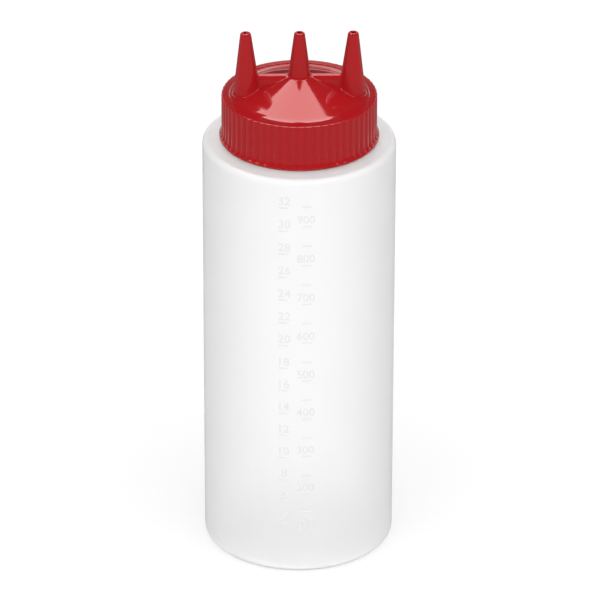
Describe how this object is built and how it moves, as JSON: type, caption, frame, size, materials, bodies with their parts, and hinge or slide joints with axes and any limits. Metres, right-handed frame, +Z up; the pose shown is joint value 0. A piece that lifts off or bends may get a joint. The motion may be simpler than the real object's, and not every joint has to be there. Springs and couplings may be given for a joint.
{
  "type": "squeeze bottle with spouted screw cap",
  "caption": "Tall round translucent squeeze bottle for sauce with a ribbed screw cap whose cone carries a row of fixed pointed spouts.",
  "frame": {"origin": "centre of the base on the plane that the bottle stands on", "axes": "+Z up along the bottle's axis, the row of spouts along X, the graduated front towards -Y"},
  "size_m": [0.084, 0.084, 0.2446],
  "materials": {
    "milky_plastic": "translucent natural low-density polyethylene with a soft satin surface",
    "red_plastic": "glossy moulded red polyethylene",
    "seal": "soft natural sealing sheet"
  },
  "bodies": {
    "bottle_body": {"bottle": "milky_plastic"},
    "seal_body": {"seal_ring": "seal"},
    "cap_body": {"cap": "red_plastic"}
  },
  "joints": [
    {"name": "cap_rise", "type": "slide", "parent": "bottle_body", "child": "seal_body", "axis": [0, 0, 1], "range_m": [0, 0.018]},
    {"name": "cap_turn", "type": "hinge", "parent": "seal_body", "child": "cap_body", "pos_m": [0, 0, 0.2], "axis": [0, 0, 1], "range_deg": [0, 1530]}
  ],
  "couplings": [
    {"joint": "cap_rise", "follows": "cap_turn", "m_per_rad": 0.0006737}
  ]
}
